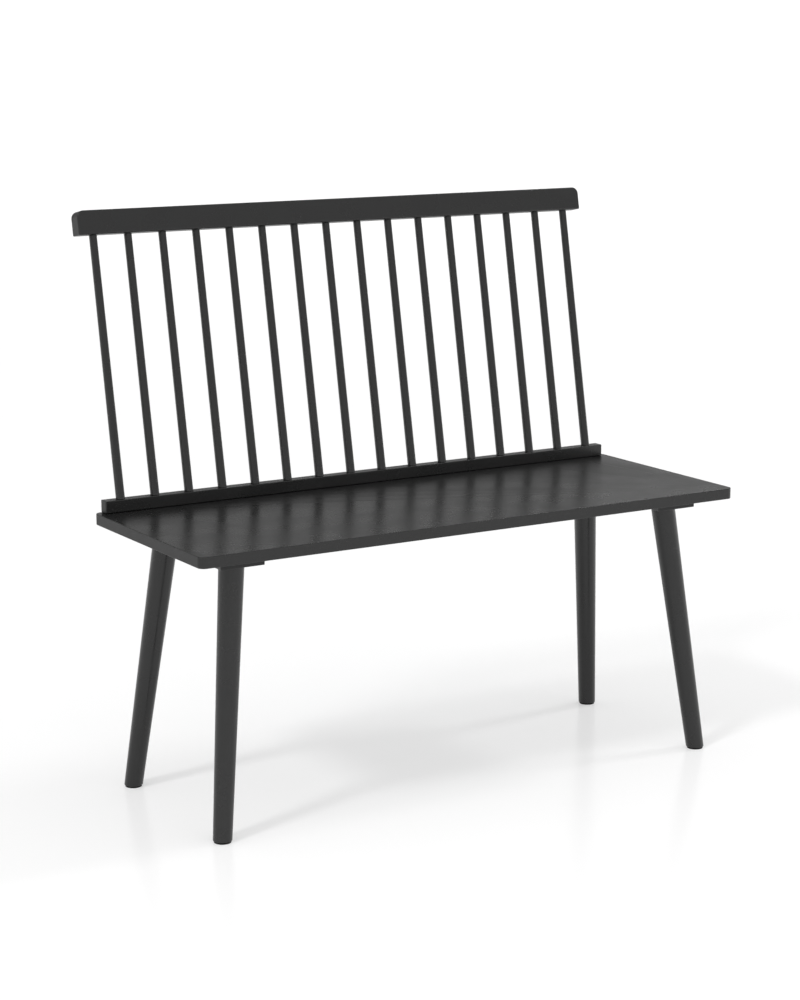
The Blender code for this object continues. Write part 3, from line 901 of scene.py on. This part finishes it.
@dataclass(frozen=True)
class Legs(SubAssembly):
    """The four tapered legs, which splay both ways and are cut level at both ends."""

    foot_diameter: float = 30 * MM
    foot_rounding: float = 1.2 * MM
    top_arris: float = 0.5 * MM
    first_row_above: float = 4 * MM
    last_row_below: float = 1 * MM
    segments: int = 72
    body_rows: int = 10

    def surface(self) -> Surface:
        """Return one leg in its own frame, Z up its axis and X the way it leans.

        Every ring is level on the standing bench, so its points rise by x times minus the tangent of
        the lean. The profile starts in the nail's hole, which is upright and so drifts towards +X,
        runs out along the foot, up the tapered side, in along the top and down the bolt's hole.
        """
        sizes = self.layout
        lean = sizes.leg_lean
        top, foot = sizes.leg_top_diameter / 2, self.foot_diameter / 2
        floor = -sizes.leg_length
        nail, bolt = (width / 2 + sizes.fit for width in (sizes.nail_diameter, sizes.bolt_diameter))
        hole_top = floor + sizes.nail_length * cos(lean)
        hole_bottom = -sizes.bolt_below - sizes.fit
        outside = rounded([(nail, floor), (foot, floor), (top, 0.0)], self.foot_rounding)
        levels = np.linspace(floor + self.first_row_above, -self.last_row_below, self.body_rows)
        radii = np.interp(levels, [floor, 0], [foot, top])
        rows = [[(0.0, hole_top), (nail, hole_top)], outside[:-1], np.column_stack([radii, levels])]
        rows.append([(top, -self.top_arris), (top - self.top_arris, 0.0), (bolt, 0.0)])
        rows = np.concatenate([*rows, [(bolt, hole_bottom), (0.0, hole_bottom)]])
        drift = np.zeros(len(rows))
        drift[:2] = sizes.nail_length * sin(lean)
        slope = np.full(len(rows), -tan(lean))
        slope[-2:] = 0.0
        return ring_surface(turned(rows, even_angles(self.segments), slope, drift))

    def build(self) -> list[Piece]:
        """Return the four legs: one surface turned to each corner's direction."""
        return alike(self.surface(), self.layout.at_legs("leg"))


@dataclass(frozen=True)
class FootGlides(SubAssembly):
    """The nailed glide under each foot."""

    slot: ClassVar[Slot] = Slot.NYLON
    diameter: float = 27 * MM
    rounding: float = 0.6 * MM
    segments: int = 72

    def build(self) -> list[Piece]:
        """Return the four glides: a rounded disc with its nail standing up into the leg."""
        sizes = self.layout
        radius, nail, top = self.diameter / 2, sizes.nail_diameter / 2, sizes.glide_thickness
        tip = top + sizes.nail_length
        disc = rounded([(0, 0), (radius, 0), (radius, top), (nail, top)], self.rounding)
        profile = np.concatenate([disc, [(nail, tip - sizes.nail_diameter), (0, tip)]])
        glide = round_surface(profile, self.segments)
        pieces = []
        for node, foot in sizes.at_legs("foot_glide", -sizes.leg_length).items():
            place = move(*foot[:2, 3], 0)
            pieces.append(Piece(node, glide.placed(place), place))
        return pieces


def threaded(
    levels: Points, core: ArrayLike, depth: Points, pitch: float, angles: Points, sharpness: float = 1
) -> Points:
    """Return the rings of a right-hand thread.

    At the height h and the angle a, with p the fraction of h / pitch - a / (2 pi), the radius is
    the core's plus the depth times (1 - |2 p - 1|) to the power of the sharpness.

    Args:
        levels: the rings' heights, from the bottom up.
        core: radius of the core, one value or one for each height.
        depth: how far the ridge stands out at each height.
        pitch: rise of the ridge in one turn.
        angles: the angles of the points round each ring.
        sharpness: above 1 the ridge is thin and its root wide, as on a wood screw.

    Returns:
        The rings.
    """
    phase = (levels[:, None] / pitch - angles[None] / (2 * pi)) % 1.0
    ridge = (1 - np.abs(2 * phase - 1)) ** sharpness
    radius = np.broadcast_to(core, len(levels))[:, None] + depth[:, None] * ridge
    height = np.broadcast_to(levels[:, None], radius.shape)
    return np.stack([radius * np.cos(angles), radius * np.sin(angles), height], axis=-1)


@dataclass(frozen=True)
class HangerBolts(SubAssembly):
    """The double-ended bolt in each leg's top: a wood thread below and a machine thread above."""

    slot: ClassVar[Slot] = Slot.STEEL
    machine_pitch: float = 1.25 * MM
    machine_depth: float = 0.68 * MM
    machine_from: float = 0.4 * MM
    wood_diameter: float = 7 * MM
    wood_pitch: float = 2.8 * MM
    wood_depth: float = 1.1 * MM
    wood_sharpness: float = 2.5
    wood_end: float = 1.5 * MM
    point: float = 5 * MM
    tip: float = 0.3 * MM
    tip_share: float = 0.05
    segments: int = 40
    rows_per_turn: int = 8

    def surface(self) -> Surface:
        """Return one bolt along Z, with its middle at 0.

        The wood thread's core tapers to the point, and its ridge fades out over the last half turn.
        The machine thread starts half a turn up, grows for one turn, and is chamfered at its top.
        """
        half_turn = 0.5
        sizes = self.layout
        angles = even_angles(self.segments)
        below, above = sizes.bolt_below, sizes.bolt_above
        count = int(below / self.wood_pitch * self.rows_per_turn)
        levels = np.linspace(self.tip - below, -self.wood_end, count)
        share = np.clip((levels + below) / self.point, self.tip_share, 1)
        fade = np.clip(-(levels + self.wood_end) / self.wood_pitch / half_turn, 0, 1)
        core = (self.wood_diameter / 2 - self.wood_depth) * share
        ridge = self.wood_depth * share * fade
        wood = threaded(levels, core, ridge, self.wood_pitch, angles, self.wood_sharpness)
        count = int(above / self.machine_pitch * self.rows_per_turn)
        levels = np.linspace(self.machine_from, above, count)
        share = np.clip((above - levels) / self.machine_pitch, 0, 1)
        fade = np.clip(levels / self.machine_pitch - half_turn, 0, 1)
        root = sizes.bolt_diameter / 2 - self.machine_depth
        ridge = self.machine_depth * share * fade
        machine = threaded(levels, root, ridge, self.machine_pitch, angles)
        start, end = (turned([(0, height)], angles) for height in (-below, above))
        return ring_surface(np.concatenate([start, wood, machine, end]))

    def build(self) -> list[Piece]:
        """Return the four bolts, each along its leg's axis."""
        return alike(self.surface(), self.layout.at_legs("hanger_bolt"))


@dataclass(frozen=True)
class ThreadedInserts(SubAssembly):
    """The barbed sleeve round each hanger bolt, set in from the batten's underside."""

    slot: ClassVar[Slot] = Slot.STEEL
    barbs: int = 3
    barb_depth: float = 0.8 * MM

    def build(self) -> list[Piece]:
        """Return the four inserts: a saw-toothed sleeve's closed profile, carried round the bolt."""
        sizes = self.layout
        outer, inner = sizes.insert_diameter / 2, sizes.bolt_diameter / 2 + sizes.fit
        barb = sizes.insert_length / self.barbs
        profile = [(inner, 0.0)]
        for number in range(self.barbs):
            profile += [(outer, number * barb), (outer - self.barb_depth, (number + 1) * barb)]
        profile.append((inner, sizes.insert_length))
        sleeve = round_surface(profile, ends=Ends.LOOP)
        set_in = 2 * sizes.fit + outer * tan(sizes.leg_lean)
        return alike(sleeve, sizes.at_legs("threaded_insert", set_in))


@dataclass(frozen=True)
class CountersunkScrews(SubAssembly):
    """The screws that hold the battens and the lower rail, all driven upwards."""

    slot: ClassVar[Slot] = Slot.STEEL
    recess_span: float = 3.9 * MM
    recess_width: float = 1.1 * MM
    recess_depth: float = 1.7 * MM
    recess_taper: float = 0.45
    rim: float = 0.2 * MM
    thread_from: float = 0.8 * MM
    thread_share: float = 0.24
    sharpness: float = 2.0
    tip: float = 0.2 * MM
    tip_share: float = 0.04
    turn_seed: int = 5
    segments: int = 48
    rows_per_turn: int = 6

    def surface(self, screw: ScrewSizes) -> Surface:
        """Return one screw, its head's face at 0 and its point up.

        The stack of rings starts at the bottom of the tapered cross recess, comes out over the
        head's face, goes up its cone and along the thread, and ends in the point. At the angle a, a
        bar of the cross with half span s and half width w reaches the smaller of s / |cos a| and
        w / |sin a|, the other bar has sine and cosine changed over, and the cross is the larger.

        Args:
            screw: the screw's sizes.

        Returns:
            The surface.
        """
        corner = atan2(self.recess_width, self.recess_span)
        quarter = np.array([corner, pi / 4, pi / 2 - corner])
        corners = (quarter + np.arange(4)[:, None] * pi / 2).ravel()
        angles = np.unique(np.round(np.concatenate([even_angles(self.segments), corners]), decimals=9))
        span, width = self.recess_span / 2, self.recess_width / 2
        cosine, sine = (np.maximum(np.abs(wave(angles)), 1e-9) for wave in (np.cos, np.sin))
        bars = (np.minimum(x / cosine, y / sine) for x, y in ((span, width), (width, span)))
        cross = np.maximum(*bars)
        mouth = turned([(1, 0)], angles) * cross[:, None]
        floor = mouth * (self.recess_taper, self.recess_taper, 0) + (0, 0, self.recess_depth)
        head, shank = screw.head / 2, screw.diameter / 2
        face = [(head - self.rim, 0.0), (head, self.rim), (shank, head - shank + self.rim)]
        depth = screw.diameter * self.thread_share
        start = head - shank + self.thread_from
        count = int((screw.length - start) / screw.pitch * self.rows_per_turn)
        levels = np.linspace(start, screw.length - self.tip, count)
        share = np.clip((screw.length - levels) / screw.point, self.tip_share, 1)
        fade = np.clip((levels - start) / screw.pitch, 0, 1)
        core = (shank - depth * fade) * share
        thread = threaded(levels, core, depth * share * fade, screw.pitch, angles, self.sharpness)
        bottom, point = (turned([(0, height)], angles) for height in (self.recess_depth, screw.length))
        rings = [bottom, floor, mouth, turned(face, angles), thread, point]
        return ring_surface(np.concatenate(rings))

    def build(self) -> list[Piece]:
        """Return the battens' screws and the lower rail's screws, each turned its own way."""
        draws = np.random.default_rng(self.turn_seed)
        pieces = []
        for name, (screw, row) in self.layout.screw_rows.items():
            turns = draws.uniform(0, pi / 2, len(row))
            turned_row = [place @ turn(Axis.Z, angle) for place, angle in zip(row, turns)]
            frames = {f"{name}_{number}": place for number, place in enumerate(turned_row, start=1)}
            pieces += alike(self.surface(screw), frames)
        return pieces


@dataclass(frozen=True)
class Studio:
    """A plain pale studio: a glossy floor, a low white wall far off, a soft sky and two lamps.

    The sky is brightest in front and overhead, and falls off towards the back, as in a room with
    its large soft lights on the camera's side.
    """

    white: str = "FFFFFF"
    set_colour: str = "DADADA"
    set_roughness: float = 0.20
    floor_lift: float = 0.40
    floor_radius: float = 150.0
    wall_height: float = 10.0
    wall_thickness: float = 1.0
    wall_lift: float = 1.0
    segments: int = 96
    sky_light: float = 0.63
    sky_slope: Vector = (-0.05, -0.29, 0.14)
    # The direction in which each far-off lamp stands, and its light in watts per square metre
    lamps: tuple[tuple[str, Vector, float], ...] = (
        ("left_lamp", (-0.90, -0.25, 1.0), 0.80),
        ("right_lamp", (0.87, -0.05, 1.0), 0.42),
    )
    lamp_width: float = radians(9)
    image_height: int = 1000
    focal_pixels: float = 2388.61
    film_height: float = 36
    camera_place: Vector = (-2.03470, -3.29317, 1.24271)
    camera_pitch: float = radians(11.6132)
    camera_yaw: float = radians(-31.5355)
    camera_reach: float = 200

    def build_sheet(self, name: str, surface: Surface, lift: float) -> None:
        """Make a glossy pale sheet of the set, lifted to white for the eye but not as a light.

        From behind it is clear, so that the bench's underside shows through the floor.

        Args:
            name: the sheet's name.
            surface: its shape.
            lift: the strength that is added for the eye.
        """
        sheet = new_object(name, surface.mesh(name))
        material = new_material(f"glossy_pale_{name}")
        tree = material.node_tree
        rays = add_node(tree, "LightPath").outputs
        seen = rays["Is Camera Ray"]
        for ray in ("Is Glossy Ray", "Is Transmission Ray"):
            seen = add_node(tree, "Math", {0: seen, 1: rays[ray]}, operation="MAXIMUM")
        glow = add_node(tree, "Math", {0: seen, 1: lift}, operation="MULTIPLY")
        inputs = {
            "Base Color": linear(self.set_colour),
            "Roughness": self.set_roughness,
            "Emission Color": linear(self.white),
            "Emission Strength": glow,
        }
        front = add_node(tree, "BsdfPrincipled", inputs)
        back = add_node(tree, "BsdfTransparent")
        behind = add_node(tree, "NewGeometry").outputs["Backfacing"]
        both = add_node(tree, "MixShader", {0: behind, 1: front, 2: back})
        add_node(tree, "OutputMaterial", {"Surface": both})
        sheet.data.materials.append(material)

    def build(self) -> None:
        """Make the round floor, the ring of wall that stands on its rim, the light and the camera."""
        inner, top = self.floor_radius, self.wall_height
        outer = inner + self.wall_thickness
        disc = turned([(inner, 0)], even_angles(self.segments))[0]
        self.build_sheet("floor", Surface(disc, [range(len(disc))]), self.floor_lift)
        wall = [(inner, 0), (outer, 0), (outer, top), (inner, top)]
        self.build_sheet("wall", round_surface(wall, self.segments, Ends.LOOP), self.wall_lift)
        self.build_light()
        self.build_camera()

    def build_light(self) -> None:
        """Make the soft sky and the lamps.

        The sky's strength in a direction is the mean strength plus the slope times the direction.
        """
        world = bpy.data.worlds.new("studio")
        world.use_nodes = True
        tree = world.node_tree
        tree.nodes.clear()
        inputs = {0: add_node(tree, "TexCoord"), 1: self.sky_slope}
        rise = add_node(tree, "VectorMath", inputs, operation="DOT_PRODUCT").outputs["Value"]
        strength = add_node(tree, "Math", {0: rise, 1: self.sky_light}, operation="ADD")
        inputs = {"Color": linear(self.white), "Strength": strength}
        sky = add_node(tree, "Background", inputs)
        add_node(tree, "OutputWorld", {"Surface": sky})
        bpy.context.scene.world = world
        for name, (x, y, z), strength in self.lamps:
            data = bpy.data.lights.new(name, "SUN")
            data.energy, data.angle = strength, self.lamp_width
            lamp = new_object(name, data)
            lamp.rotation_euler = (atan2(hypot(x, y), z), 0, atan2(x, -y))

    def build_camera(self) -> None:
        """Make the camera at the photograph's place, angle and focal length."""
        data = bpy.data.cameras.new("camera")
        data.sensor_width = self.film_height
        data.lens = self.focal_pixels / self.image_height * self.film_height
        data.clip_end = self.camera_reach
        camera = new_object("camera", data)
        camera.location = self.camera_place
        camera.rotation_euler = (pi / 2 - self.camera_pitch, 0, self.camera_yaw)
        bpy.context.scene.camera = camera
        bpy.context.scene.view_settings.view_transform = "Standard"


def main() -> None:
    """Build every sub-assembly in order, report its pieces, and set up the studio."""
    logging.basicConfig(level=logging.INFO, format="%(name)s: %(message)s")
    layout = Layout()
    finishes = {
        Slot.PAINT: SatinPaint().material(),
        Slot.STEEL: ZincPlate().material(),
        Slot.NYLON: MouldedNylon().material(),
    }
    kinds = (SeatPanel, Battens, LowerRail, Spindles, CrestRail, Legs)
    kinds += (FootGlides, HangerBolts, ThreadedInserts, CountersunkScrews)
    number = 0
    for kind in kinds:
        assembly = kind(layout)
        for piece in assembly.build():
            obj = assembly.dress(piece, finishes[assembly.slot], number)
            LOG.info("%s: %d faces", obj.name, len(obj.data.polygons))
            number += 1
    Studio().build()


if __name__ == "__main__":
    main()
